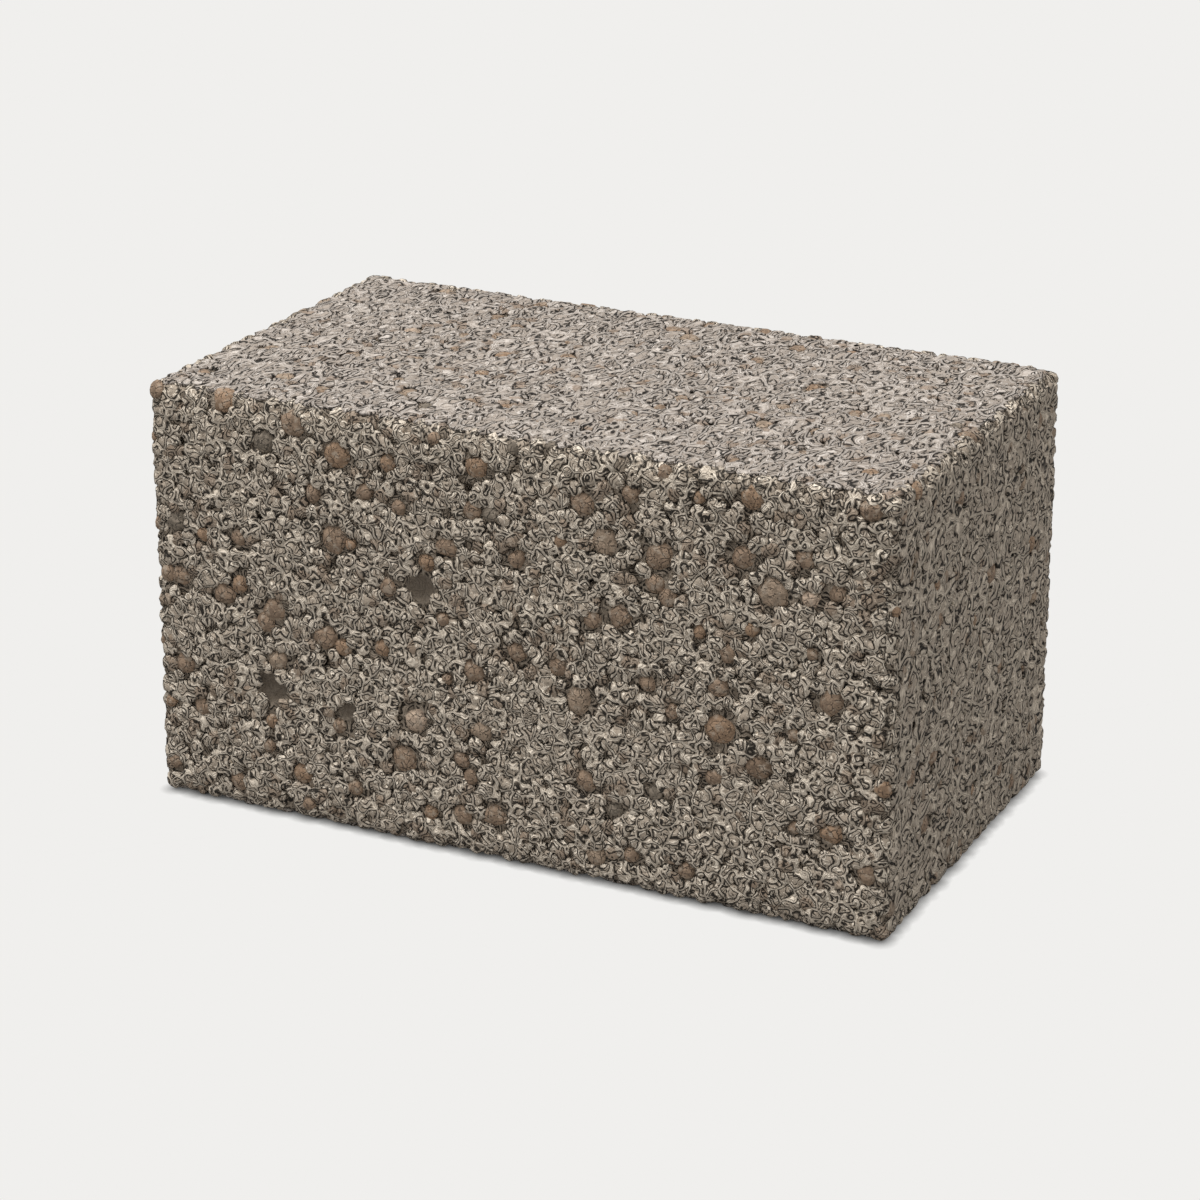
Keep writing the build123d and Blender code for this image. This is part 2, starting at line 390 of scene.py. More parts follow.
class BlockSizes(bpy.types.PropertyGroup):
    """Sizes of the block's surface."""

    arris_radius: size_property("Arris", "Radius of the rounded arrises", 5.0 * MM)
    paste_setback: size_property("Paste setback", "How far the paste in the gaps lies back", 1.9 * MM)
    lump_height: size_property("Lump height", "Half the height of a lump", 1.7 * MM)
    press_depth: size_property("Press depth", "How far back the lumps' pressed tops may lie", 0.45 * MM)
    arris_press_depth: size_property("Arris press depth", "The same of lumps next to an arris", 1.0 * MM)
    arris_spacing: size_property("Arris spacing", "Spacing of the lumps along the arrises", 7.8 * MM)
    long_spacing: size_property("Front spacing", "Spacing of the lumps of the long faces", 4.4 * MM)
    bed_spacing: size_property("Bed spacing", "Spacing of the lumps of the bed faces", 4.4 * MM)
    end_spacing: size_property("End spacing", "Spacing of the lumps of the end faces", 4.6 * MM)
    lump_roughness: size_property("Lump roughness", "How far a lump strays from a round shape", 1.3 * MM)
    paste_mesh: size_property("Paste mesh", "Spacing of the points of the paste's mesh", 3.0 * MM)
    pore_depth: size_property("Pore depth", "How deep a pore goes between the lumps", 7.0 * MM)
    socket_depth: share_property("Socket depth", "Depth of an empty socket, as a share of its mouth", 0.38)
    long_open: share_property("Front openness", "Share of the long faces' lumps that are missing", 0.05)
    bed_open: share_property("Bed openness", "Share of the bed faces' lumps that are missing", 0.01)
    end_open: share_property("End openness", "Share of the end faces' lumps that are missing", 0.015)
    seed: IntProperty(name="Seed", description="Starts the chance placing of lumps and pellets", default=7)


class BlockColours(bpy.types.PropertyGroup):
    """Colours of the block, its pellets and the stage."""

    # Painted shade: the near-black that fills the cracks and pits, where shade falls
    crack_shade: colour_property("Crack", "Cracks and pits in the paste", "#100C08")
    # Partly painted shade: the paste's grey-brown, darkened for lying back in the gaps
    paste: colour_property("Paste", "Cement paste in the open gaps", "#7C7062")
    long_groove: colour_property("Front", "Long faces between their ridges", "#B8A997")
    # Painted highlight: lighter than the groove colour, it lights up the crests
    long_lit_ridge: colour_property("Front ridge", "Crests of the ridges on the long faces", "#FBEDD9")
    bed_groove: colour_property("Bed", "Bed faces between their ridges", "#A99D91")
    # Painted highlight: lighter than the groove colour, it lights up the crests
    bed_lit_ridge: colour_property("Bed ridge", "Crests of the ridges on the bed faces", "#D2C8BE")
    end_groove: colour_property("End", "End faces between their ridges", "#AFA191")
    # Painted highlight: lighter than the groove colour, it lights up the crests
    end_lit_ridge: colour_property("End ridge", "Crests of the ridges on the end faces", "#DCCEBB")
    grit: colour_property("Grit", "Lumps that hold crushed clay", "#957E69")
    # Partly painted shade: the socket's smooth grey skin, darkened for lying in a bowl
    socket: colour_property("Socket", "Smooth skin of an empty socket", "#82776A")
    brown: colour_property("Brown pellet", "Fired clay", "#A28A74")
    orange: colour_property("Orange pellet", "Fired clay, hottest fired", "#A98C72")
    tan: colour_property("Tan pellet", "Fired clay with a film of cement", "#B09A84")
    grey: colour_property("Grey pellet", "Fired clay, dusted grey", "#8F8374")
    pale: colour_property("Pale pellet", "Lightest fired clay", "#CDB59E")
    dark: colour_property("Dark pellet", "Overfired clay", "#8A7460")
    floor: colour_property("Floor", "Pale floor and backdrop", "#F0EFED")


def add(tree, kind, inputs=(), out=0, **settings):
    """Adds one node with its settings, and links or sets its inputs. Gives one of its outputs."""
    node = tree.nodes.new(kind)
    for name, value in settings.items():
        setattr(node, name, value)
    for key, value in inputs.items() if isinstance(inputs, dict) else enumerate(inputs):
        if isinstance(value, bpy.types.NodeSocket):
            tree.links.new(value, node.inputs[key])
        else:
            node.inputs[key].default_value = value
    return node.outputs[out] if node.outputs else None


def new_material(name):
    """A material and its node tree, which is still empty."""
    material = bpy.data.materials.new(name)
    material.use_nodes = True
    material.node_tree.nodes.clear()
    return material, material.node_tree


def matt_surface(tree, colour, normal, roughness):
    """Ends a material with a matt surface of this colour."""
    inputs = {
        "Base Color": colour,
        "Normal": normal,
        "Roughness": roughness,
        "Specular IOR Level": 0.3,
    }
    shader = add(tree, "ShaderNodeBsdfPrincipled", inputs)
    add(tree, "ShaderNodeOutputMaterial", {"Surface": shader}, is_active_output=True)


def place_in_mm(tree):
    """The place on the block, in millimetres."""
    place = add(tree, "ShaderNodeTexCoord", out="Object")
    return add(tree, VECTOR, {0: place, "Scale": 1 / MM}, operation="SCALE")


def band(tree, value, middle, half_width):
    """1 where the value is at the middle of a band, falling to 0 at its borders."""
    apart = add(tree, MATH, (value, middle), operation="SUBTRACT")
    away = add(tree, MATH, (apart,), operation="ABSOLUTE")
    return add(tree, RANGE, (away, half_width, half_width * 0.25), **SOFT)



def tangle(tree, place, own_place, broken_share):
    """Curling ridges: how near the crest of one a place is, which takes painted highlight, and how deep in
    a crack or a pit, which takes painted shade.

    Ridges about 0.8 mm wide run on from lump to lump in a warped net. Finer ones, which
    differ from lump to lump, curl in its cells. A larger broken_share breaks the cracks beside
    the net up into shorter ones.
    """
    warp = add(tree, NOISE, {"Vector": place, "Scale": 1 / WARP_CELL, "Detail": 0.0}, "Color")
    warped = add(tree, VECTOR, (warp, (NET_PUSH,) * 3, place), operation="MULTIPLY_ADD")
    net = add(tree, CELLS, {"Vector": warped, "Scale": 1 / NET_CELL}, **EDGES)
    clouds = add(tree, NOISE, {"Vector": place, "Scale": 1 / CLOUD_CELL, "Detail": 0.0})
    glow = add(tree, RANGE, (clouds, 0.4, 0.6), **SOFT)

    # The net's ridges have a slight groove along their middle and differ in height and in the strength of
    # their painted highlight
    middle = add(tree, RANGE, (net, 0.0, 0.025), **SOFT)
    hollow = add(tree, MATH, (middle, 0.5, 0.5), operation="MULTIPLY_ADD")
    flank = add(tree, RANGE, (net, 0.07, 0.045), **SOFT)
    rope = add(tree, MATH, (flank, hollow), operation="MULTIPLY")
    lit = add(tree, MATH, (glow, 0.35, 0.65), operation="MULTIPLY_ADD")
    rope = add(tree, MATH, (rope, lit), operation="MULTIPLY")

    # The cracks beside them, dark with painted shadow along the ridges, are broken up in places
    breaks = add(tree, NOISE, {"Vector": place, "Scale": 1 / BREAK_CELL, "Detail": 0.0})
    whole = add(tree, RANGE, (breaks, broken_share, broken_share + 0.08), **SOFT)
    beside = add(tree, MATH, (band(tree, net, 0.12, 0.045), whole), operation="MULTIPLY")

    # Curls run along the contours of a noise, a ridge where they peak and a crack in the troughs
    curl = {"Vector": own_place, "Scale": 1 / CURL_CELL, "Detail": 0.0, "Distortion": 0.6}
    waves = add(tree, MATH, (add(tree, NOISE, curl), 5.0), operation="MULTIPLY")
    contour = add(tree, MATH, (waves, 0.5), operation="PINGPONG")
    faint = add(tree, MATH, (glow, -0.4, 1.0), operation="MULTIPLY_ADD")
    peak = add(tree, RANGE, (contour, 0.37, 0.44), **SOFT)
    lit_ridge = add(tree, MATH, (peak, faint), operation="MULTIPLY")
    trough = add(tree, RANGE, (contour, 0.14, 0.08), **SOFT)

    # Rings lie round small pits
    cells = add(tree, CELLS, {"Vector": warped, "Scale": 1 / RING_CELL})
    ring = band(tree, cells, 0.3, 0.08)
    pit = add(tree, RANGE, (cells, 0.15, 0.1), **SOFT)

    # The net lies on top: what is under it stops at its flanks
    spots = add(tree, NOISE, {"Vector": warped, "Scale": 1 / PATCH_CELL, "Detail": 0.0})
    patches = add(tree, RANGE, (spots, 0.35, 0.5), **SOFT)
    # Painted shade: the troughs' cracks, the pits and the cracks beside the net
    cracked = add(tree, MATH, (trough, patches), operation="MULTIPLY")
    crack_shade = add(tree, MATH, (cracked, pit), operation="MAXIMUM")
    crack_shade = add(tree, MATH, (crack_shade, beside), operation="MAXIMUM")
    off_ridge = add(tree, RANGE, (net, 0.05, 0.1), **SOFT)
    crack_shade = add(tree, MATH, (crack_shade, off_ridge), operation="MULTIPLY")
    curled = add(tree, MATH, (lit_ridge, ring), operation="MAXIMUM")
    inside = add(tree, RANGE, (net, 0.08, 0.16), **SOFT)
    under = add(tree, MATH, (curled, inside), operation="MULTIPLY")
    return add(tree, MATH, (rope, under), operation="MAXIMUM"), crack_shade


def own_pattern(tree, place, tint):
    """The place, moved far off for some of the lumps, which then have a pattern of their own."""
    chosen = add(tree, MATH, (tint, 0.65), operation="GREATER_THAN")
    share = add(tree, MATH, (tint, chosen), operation="MULTIPLY")
    far = add(tree, MATH, (share, 731.0), operation="MULTIPLY")
    offset = add(tree, "ShaderNodeCombineXYZ", (far, share))
    return add(tree, VECTOR, (place, offset), operation="ADD")


def fine_grain(tree, place):
    """Grain of the grit in the paste, about zero."""
    grain = add(tree, NOISE, {"Vector": place, "Scale": 1 / GRAIN_CELL, "Detail": 2.0})
    return add(tree, MATH, (grain, 0.5), operation="SUBTRACT")


def ridged_skin(tree, crest, crack_shade, grain, groove, lit_ridge, dark, relief):
    """The colour of a ridged skin, with painted highlight on its crests and painted shade in its cracks
    and pits, and its normal with the bumps of ridges, cracks and grain.
    """
    # Painted highlight: the crests take the lighter ridge colour
    light = add(tree, MATH, (grain, 0.5, crest), operation="MULTIPLY_ADD")
    share = add(tree, RANGE, (light, 0.0, 1.1), **SOFT)
    colour = add(
        tree, MIX, {MIX_SHARE: share, MIX_FIRST: groove, MIX_SECOND: lit_ridge}, MIX_RESULT, **COLOUR
    )
    # Painted shade: cracks and pits take the dark colour, where shade falls
    depth = add(tree, MATH, (crack_shade, 0.95), operation="MULTIPLY")
    colour = add(
        tree, MIX, {MIX_SHARE: depth, MIX_FIRST: colour, MIX_SECOND: dark}, MIX_RESULT, **COLOUR
    )
    raised = add(tree, MATH, (crest, crack_shade), operation="SUBTRACT")
    height = add(tree, MATH, (grain, 0.3, raised), operation="MULTIPLY_ADD")
    normal = add(
        tree, "ShaderNodeBump", {"Height": height, "Distance": relief, "Strength": 1.0}, "Normal"
    )
    return colour, normal


def lump_material(kind, colours):
    """Pressed concrete of cement and clay grit, vibrated damp in a steel mould and left raw.

    The eye sees matt, dusty grey lumps with curling ridges of paste, made pale with painted highlight,
    and cracks between them, made dark with painted shade, and here and there a lump that is brown with
    crushed clay.
    """
    name, stretch, clay_share, broken_share = FINISHES[kind]
    groove, lit_ridge = (getattr(colours, f"{kind}_{part}") for part in ("groove", "lit_ridge"))
    material, tree = new_material(name)
    tint = add(tree, ATTRIBUTE, out="Fac", attribute_name="tint")
    local = add(tree, ATTRIBUTE, out="Vector", attribute_name="lump_place")
    block_place = place_in_mm(tree)
    place = add(tree, VECTOR, (block_place, stretch), operation="DIVIDE")
    crest, crack_shade = tangle(tree, place, own_pattern(tree, place, tint), broken_share)

    # Some lumps have a ridge round them, lit with painted highlight, and all have a crack where they meet,
    # darkened with painted shade
    across = add(tree, VECTOR, (local, (1.0, 1.0, 0.0)), operation="MULTIPLY")
    reach = add(tree, VECTOR, (across,), "Value", operation="LENGTH")
    clouds = add(tree, NOISE, {"Vector": block_place, "Scale": 1 / HIGHLIGHT_RING_CELL, "Detail": 0.0})
    highlight_ringed = add(tree, RANGE, (clouds, 0.5, 0.56), **SOFT)
    ring_highlight = add(tree, MATH, (band(tree, reach, 0.8, 0.09), highlight_ringed), operation="MULTIPLY")
    crest = add(tree, MATH, (crest, ring_highlight), operation="MAXIMUM")
    # Painted shade at each lump's rim, where it meets the next
    joint_shade = add(tree, RANGE, (reach, 0.93, 0.99), **SOFT)
    crack_shade = add(tree, MATH, (crack_shade, joint_shade), operation="MAXIMUM")

    # Crushed clay colours a few lumps
    grain = fine_grain(tree, block_place)
    chosen = add(tree, MATH, (tint, 1.0 - clay_share), operation="GREATER_THAN")
    clay = add(tree, MATH, (chosen, 0.65), operation="MULTIPLY")
    # The crest colour is painted highlight, mixed with the grit colour like the groove colour
    body, lit_crown = (
        add(
            tree,
            MIX,
            {MIX_SHARE: clay, MIX_FIRST: tone, MIX_SECOND: colours.grit},
            MIX_RESULT,
            **COLOUR,
        )
        for tone in (groove, lit_ridge)
    )
    skin, normal = ridged_skin(tree, crest, crack_shade, grain, body, lit_crown, colours.crack_shade, 0.8 * MM)

    # Each lump is a little lighter or darker than the next
    spread = add(tree, MATH, (tint, 37.0), operation="MULTIPLY")
    sway = add(tree, MATH, (spread, 1.0), operation="PINGPONG")
    tone = add(tree, MATH, (sway, 0.16, 0.94), operation="MULTIPLY_ADD")
    shade = add(tree, "ShaderNodeCombineColor", (tone, tone, tone))
    toned = {MIX_SHARE: 1.0, MIX_FIRST: skin, MIX_SECOND: shade}
    colour = add(tree, MIX, toned, MIX_RESULT, blend_type="MULTIPLY", **COLOUR)
    matt_surface(tree, colour, normal, 0.9)
    return material


def paste_material(colours):
    """Raw cement paste that no mould wall touched, set rough in the gaps between the lumps.

    The eye sees the same ridged paste, darker for lying in shade, which its colour paints as
    painted shade, and in the empty sockets the smoother, greyer skin that was cast against a
    pellet, also darkened with painted shade.
    """
    material, tree = new_material("open_cement_paste")
    place = place_in_mm(tree)
    crest, crack_shade = tangle(tree, place, place, FINISHES["long"][3])
    grain = fine_grain(tree, place)
    socket = add(tree, ATTRIBUTE, out="Fac", attribute_name="socket")
    open_share = add(tree, MATH, (socket, -0.7, 1.0), operation="MULTIPLY_ADD")
    crest = add(tree, MATH, (crest, open_share), operation="MULTIPLY")
    crack_shade = add(tree, MATH, (crack_shade, open_share), operation="MULTIPLY")
    rough, normal = ridged_skin(
        tree, crest, crack_shade, grain, colours.paste, colours.long_groove, colours.crack_shade, 0.6 * MM
    )
    clouds = add(tree, NOISE, {"Vector": place, "Scale": 1 / CLOUD_CELL, "Detail": 2.0})
    cloud = add(tree, RANGE, (clouds, 0.3, 0.7), **SOFT)
    # Painted shade in the sockets: their skin takes the darkened socket and paste colours
    clouded = {MIX_SHARE: cloud, MIX_FIRST: colours.socket, MIX_SECOND: colours.paste}
    skin = add(tree, MIX, clouded, MIX_RESULT, **COLOUR)
    share = add(tree, MATH, (socket, 0.7), operation="MULTIPLY")
    both = {MIX_SHARE: share, MIX_FIRST: rough, MIX_SECOND: skin}
    colour = add(tree, MIX, both, MIX_RESULT, **COLOUR)
    matt_surface(tree, colour, normal, 0.95)
    return material


def darker(colour, share):
    """This share of a colour's light."""
    return (*(channel * share for channel in colour[:3]), 1.0)


def pellet_material(tone, colours):
    """Expanded clay, tumbled and fired in a kiln till its skin sinters.

    The eye sees a matt, speckled, brick-coloured ball with fine shrinkage cracks and pinholes,
    darkened with painted shade, and a film of cement dust.
    """
    material, tree = new_material(f"fired_clay_{tone}")
    base = getattr(colours, tone)
    place = add(tree, ATTRIBUTE, out="Vector", attribute_name="pellet_place")
    warp = add(tree, NOISE, {"Vector": place, "Scale": 1 / CLAY_WARP_CELL}, "Color")
    bent = add(tree, VECTOR, (warp, (CLAY_PUSH,) * 3, place), operation="MULTIPLY_ADD")
    crack_cells = add(tree, CELLS, {"Vector": bent, "Scale": 1 / CLAY_CRACK_CELL}, **EDGES)
    cracks = add(tree, RANGE, (crack_cells, 0.06, 0.0), **SOFT)
    clouds = add(tree, NOISE, {"Vector": place, "Scale": 1 / CLOUD_CELL, "Detail": 0.0})
    cracked = add(tree, RANGE, (clouds, 0.4, 0.55), **SOFT)
    crack_shade = add(tree, MATH, (cracks, cracked), operation="MULTIPLY")
    pinhole_cells = add(tree, CELLS, {"Vector": place, "Scale": 1 / PINHOLE_CELL})
    pinhole = add(tree, RANGE, (pinhole_cells, 0.2, 0.12), **SOFT)
    dark = add(tree, MATH, (crack_shade, pinhole), operation="MAXIMUM")

    fine = add(tree, NOISE, {"Vector": place, "Scale": 1 / SPECKLE_CELL, "Detail": 2.0})
    coarse = add(tree, MATH, (clouds, 0.5), operation="MULTIPLY")
    speckle = add(tree, MATH, (fine, 0.5, coarse), operation="MULTIPLY_ADD")
    share = add(tree, RANGE, (speckle, 0.38, 0.58), **SOFT)
    speckled = {MIX_SHARE: share, MIX_FIRST: darker(base, 0.62), MIX_SECOND: base}
    body = add(tree, MIX, speckled, MIX_RESULT, **COLOUR)
    film = add(tree, NOISE, {"Vector": place, "Scale": 1 / DUST_CELL, "Detail": 3.0})
    dust = add(tree, RANGE, (film, 0.52, 0.66), **SOFT)
    thin = add(tree, MATH, (dust, 0.6), operation="MULTIPLY")
    dusted = {MIX_SHARE: thin, MIX_FIRST: body, MIX_SECOND: colours.long_groove}
    body = add(tree, MIX, dusted, MIX_RESULT, **COLOUR)
    # Painted shade: cracks and pinholes are darkened to 12 percent of the base
    hole_shade = add(tree, MATH, (dark, 0.75), operation="MULTIPLY")
    holed = {MIX_SHARE: hole_shade, MIX_FIRST: body, MIX_SECOND: darker(base, 0.12)}
    colour = add(tree, MIX, holed, MIX_RESULT, **COLOUR)

    rough = add(tree, MATH, (fine, 0.8), operation="MULTIPLY")
    height = add(tree, MATH, (rough, dark), operation="SUBTRACT")
    normal = add(
        tree, "ShaderNodeBump", {"Height": height, "Distance": 0.5 * MM, "Strength": 1.0}, "Normal"
    )
    matt_surface(tree, colour, normal, 0.8)
    return material


def half_across(face):
    """Half the face's size to the right and up."""
    _, across, up = FACES[face]
    return abs(across.dot(HALF)), abs(up.dot(HALF))


def mould_point(face, u, v, depth, arris):
    """The point of the moulded surface at u, v from the face's middle, this deep, and its normal."""
    normal, across, up = FACES[face]
    lean = normal.copy()
    base = CENTRE + normal * (abs(normal.dot(HALF)) - arris)
    for at, half, direction in zip((u, v), half_across(face), (across, up)):
        flat = half - arris
        base += direction * max(-flat, min(flat, at))
        beyond = max(0.0, abs(at) - flat) / arris
        lean += direction * math.copysign(math.tan(min(beyond, math.pi / 4)), at)
    lean.normalize()
    return base + lean * (arris - depth), lean


def onto_mould(points, depth, arris, only_outside):
    """Moves points to the moulded surface, this deep: all of them, or only those outside it."""
    inner_half = np.array(HALF) - arris
    middle = np.array(CENTRE)
    inner = np.clip(points - middle, -inner_half, inner_half)
    outward = points - middle - inner
    reach = np.linalg.norm(outward, axis=1)
    limit = arris - depth
    factor = limit / np.maximum(reach, 1e-9)
    if only_outside:
        factor = np.minimum(factor, 1.0)
    return middle + inner + outward * factor[:, None]


def mesh_points(mesh):
    """The places of a mesh's vertices as an array."""
    points = np.empty(len(mesh.vertices) * 3, np.float32)
    mesh.vertices.foreach_get("co", points)
    return points.reshape(-1, 3).astype(float)


def set_mesh_points(mesh, points):
    """Moves a mesh's vertices."""
    mesh.vertices.foreach_set("co", points.astype(np.float32).ravel())
    mesh.update()


def show_piece(name, mesh, materials):
    """Adds a finished mesh to the scene as a piece of the block."""
    mesh.name = name
    for material in materials:
        mesh.materials.append(material)
    piece = bpy.data.objects.new(name, mesh)
    bpy.context.scene.collection.objects.link(piece)
    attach(piece, BODY)
    return piece


def spread_by_rule(count, face, spread, powers):
    """Places and radii spread over a face by the solid's rule: border, smallest and largest width."""
    half_u, half_v = half_across(face)
    border, smallest, largest = (value * MM for value in spread)
    places = []
    for n in range(1, count + 1):
        u, v = (
            (2 * (n / PLASTIC_NUMBER**power % 1) - 1) * (half - border)
            for power, half in zip(powers, (half_u, half_v))
        )
        places.append((u, v, (smallest + n / GOLDEN_RATIO % 1 * (largest - smallest)) / 2))
    return places


def from_middle(face, read):
    """Places that were read in millimetres from a face's lower left corner, measured from its middle."""
    half_u, half_v = half_across(face)
    return [(x * MM - half_u, y * MM - half_v, size * MM, *tone) for x, y, size, *tone in read]


def is_clear(u, v, radius, others, gap):
    """Whether a round feature lies clear of the others on its face."""
    return all(math.hypot(u - other[0], v - other[1]) > radius + other[2] + gap for other in others)


def face_features(face):
    """Pellets, sockets and pores of a face, measured from its middle: place, radius and tone."""
    sizes = bpy.context.scene.block_sizes
    rng = random.Random(f"{sizes.seed} pellets {face}")
    half_u, half_v = half_across(face)
    read = {"front": FRONT_PELLETS, "top": TOP_PELLETS, "right": RIGHT_PELLETS}.get(face, [])
    pellets = from_middle(face, read)
    for ruled in spread_by_rule(RULED_PELLETS.get(face, 0), face, PELLET_SPREAD, (1, 2)):
        pellets.append((*ruled, rng.choice(STREWN_TONES)))
    sockets = from_middle(face, FRONT_SOCKETS if face == "front" else [])
    pores_read = from_middle(face, FRONT_PORES if face == "front" else [])
    pores = [(u, v, width / 2) for u, v, width in pores_read]
    for u, v, radius in spread_by_rule(RULED_PORES.get(face, 0), face, PORE_SPREAD, (2, 1)):
        if is_clear(u, v, radius, pellets, 1.2 * MM):
            pores.append((u, v, radius))
    for _ in range(STREWN_TRIES):
        if len(pellets) >= SHOWN_PELLETS.get(face, 0):
            break
        radius = rng.choice(STREWN_RADII) * MM
        if face != "back":
            radius *= STREWN_SHARE
        u = rng.uniform(-half_u + radius, half_u - radius)
        v = rng.uniform(-half_v + radius, half_v - radius)
        if is_clear(u, v, radius, pellets + pores, 3 * MM):
            pellets.append((u, v, radius, rng.choice(STREWN_TONES)))
    return pellets, sockets, pores


def add_face_grid(bm, face, spacing):
    """Adds a grid that covers one face of the block's box."""
    normal, across, up = FACES[face]
    half_u, half_v = half_across(face)
    turn = Matrix((across, up, normal)).transposed().to_4x4()
    stretch = Matrix.Diagonal((half_u, half_v, 1.0, 1.0))
    middle = Matrix.Translation(CENTRE + normal * abs(normal.dot(HALF)))
    bmesh.ops.create_grid(
        bm,
        x_segments=round(2 * half_u / spacing),
        y_segments=round(2 * half_v / spacing),
        size=1.0,
        matrix=middle @ turn @ stretch,
    )


def all_hollows(arris):
    """The sockets and pores of all faces: the middle of each mouth, its radius, and if it's a socket."""
    hollows = []
    for face in FACES:
        _, sockets, pores = face_features(face)
        for u, v, radius in sockets + pores:
            place, _ = mould_point(face, u, v, 0.0, arris)
            hollows.append((np.array(place), radius, (u, v, radius) in sockets))
    return hollows


def refine_near(bm, hollows, margin):
    """Divides the edges in and round the hollows, so that their walls come out round."""
    bm.verts.ensure_lookup_table()
    spots = np.array([vert.co for vert in bm.verts])
    near = set()
    for place, radius, _ in hollows:
        away = np.linalg.norm(spots - place, axis=1)
        for at in np.flatnonzero(away < radius + margin):
            near.update(bm.verts[at].link_edges)
    bmesh.ops.subdivide_edges(bm, edges=list(near), cuts=2, use_grid_fill=True)


class BLOCK_OT_make_paste(bpy.types.Operator):
    """Make the paste that shows in the gaps between the lumps, with the empty sockets and pores"""

    bl_idname = "block.make_paste"
    bl_label = "Make paste"

    def execute(self, context):
        sizes = context.scene.block_sizes
        bm = bmesh.new()
        for face in FACES:
            add_face_grid(bm, face, sizes.paste_mesh)
        bmesh.ops.remove_doubles(bm, verts=bm.verts, dist=0.05 * MM)
        hollows = all_hollows(sizes.arris_radius)
        refine_near(bm, hollows, sizes.paste_mesh)
        bmesh.ops.recalc_face_normals(bm, faces=bm.faces)
        mesh = bpy.data.meshes.new("paste")
        bm.to_mesh(mesh)
        bm.free()
        before = mesh_points(mesh)
        depth, socket_share = self.paste_depth(before, hollows, sizes)
        set_mesh_points(mesh, onto_mould(before, depth, sizes.arris_radius, False))
        mesh.shade_smooth()
        mesh.attributes.new("socket", "FLOAT", "POINT").data.foreach_set("value", socket_share)
        piece = show_piece("paste", mesh, [paste_material(context.scene.block_colours)])
        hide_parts(NODE)
        return {"FINISHED"}

    def paste_depth(self, points, hollows, sizes):
        """How deep the paste lies at each point, and how far a point is part of a socket."""
        depth = np.full(len(points), sizes.paste_setback)
        uneven = np.array([noise.noise(Vector(point) / PASTE_WAVE) for point in points])
        depth += uneven * PASTE_UNEVENNESS
        socket_share = np.zeros(len(points))
        for place, radius, is_socket in hollows:
            away = np.linalg.norm(points - place, axis=1)
            bowl = np.sqrt(np.clip(1 - (away / radius) ** 2, 0, 1))
            if is_socket:
                full = 2 * radius * sizes.socket_depth
                depth = np.where(away < radius, np.maximum(SOCKET_RIM, full * bowl), depth)
                lip = np.clip((radius * 1.1 - away) / MM, 0, 1)
                socket_share = np.maximum(socket_share, lip)
            else:
                depth = np.maximum(depth, sizes.pore_depth * bowl)
        return depth, socket_share


def lump_places(face, spacing, missing, sizes):
    """Places of a face's lumps: a jittered hexagonal field, clear of pellets, sockets and pores."""
    rng = random.Random(f"{sizes.seed} lumps {face}")
    half_u, half_v = (half - sizes.arris_radius - 0.4 * spacing for half in half_across(face))
    pellets, sockets, pores = face_features(face)
    drawn_back = PELLET_GAP if face in ("front", "back") else 0.0
    kept_clear = [
        (u + GAP_SHIFT, v - GAP_SHIFT, radius + drawn_back) for u, v, radius, _ in pellets
    ]
    kept_clear += [(u, v, radius + 0.25 * spacing) for u, v, radius in sockets]
    kept_clear += [(u, v, radius + 0.1 * spacing) for u, v, radius in pores]
    rows = round(2 * half_v / (spacing * math.sqrt(3) / 2))
    columns = round(2 * half_u / spacing)
    places = []
    for row in range(rows + 1):
        for column in range(columns + 1):
            across = (column + row % 2 / 2) * 2 * half_u / columns
            u = -half_u + across + rng.uniform(-LUMP_JITTER, LUMP_JITTER) * spacing
            v = -half_v + row * 2 * half_v / rows + rng.uniform(-LUMP_JITTER, LUMP_JITTER) * spacing
            u = max(-half_u, min(half_u, u))
            v = max(-half_v, min(half_v, v))
            if rng.random() < missing:
                continue
            if any(math.hypot(u - cu, v - cv) < clear for cu, cv, clear in kept_clear):
                continue
            places.append((u, v))
    return places


def face_lumps(face, spacing, missing, sizes, rng):
    """The lumps of one face: place, turn, size, tint, and how far back each is pressed flat."""
    lumps = []
    for u, v in lump_places(face, spacing, missing, sizes):
        edge = min(half - abs(at) for half, at in zip(half_across(face), (u, v)))
        by_arris = edge < sizes.arris_radius + spacing
        deepest = sizes.arris_press_depth if by_arris else sizes.press_depth
        cap = rng.uniform(0.05 * MM, deepest)
        height = sizes.lump_height * rng.uniform(0.75, 1.15)
        place, normal = mould_point(face, u, v, cap + 0.6 * height, sizes.arris_radius)
        spin = Quaternion((0, 0, 1), rng.uniform(0, 2 * math.pi))
        turn = (normal.to_track_quat("Z", "Y") @ spin).to_euler()
        reach = spacing * rng.uniform(0.6, 0.95)
        size = (reach * rng.uniform(0.85, 1.2), reach, height * 1.1)
        lumps.append((place, turn, size, rng.random(), cap))
    return lumps


def arris_places(sizes, rng):
    """Places of the lumps along the twelve arrises, on the centre lines of their roundings."""
    inner = HALF - Vector((1, 1, 1)) * sizes.arris_radius
    places = [
        CENTRE + Vector((x * inner.x, y * inner.y, z * inner.z))
        for x in (-1, 1)
        for y in (-1, 1)
        for z in (-1, 1)
    ]
    for along in range(3):
        count = round(2 * inner[along] / sizes.arris_spacing)
        for first in (-1, 1):
            for second in (-1, 1):
                for step in range(1, count):
                    at = Vector((0, 0, 0))
                    at[along] = inner[along] * (2 * (step + rng.uniform(-0.3, 0.3)) / count - 1)
                    at[(along + 1) % 3] = inner[(along + 1) % 3] * first
                    at[(along + 2) % 3] = inner[(along + 2) % 3] * second
                    places.append(CENTRE + at)
    return places


